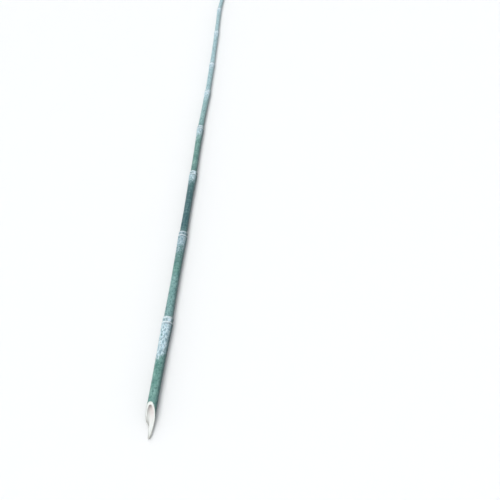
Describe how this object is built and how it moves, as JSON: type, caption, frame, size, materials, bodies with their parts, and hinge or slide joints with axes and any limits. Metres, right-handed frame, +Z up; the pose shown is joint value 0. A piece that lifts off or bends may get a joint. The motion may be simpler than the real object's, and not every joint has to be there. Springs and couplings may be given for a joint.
{
  "type": "bamboo pole",
  "caption": "Freshly cut green bamboo pole, waxy below its nodes, with a long slanted splintered cut at the butt and open hollow ends.",
  "frame": {"origin": "middle of the pole's bounding box, on the surface that it lies on", "axes": "+Y along the pole from the butt with the splinter to the top end, +Z up from the surface, +X to the right seen from the butt"},
  "size_m": [0.058, 3.6598, 0.0388],
  "materials": {
    "culm": "green culm skin with a thin bluish white wax bloom, satin"
  },
  "bodies": {
    "root": {"culm": "culm"}
  },
  "joints": []
}
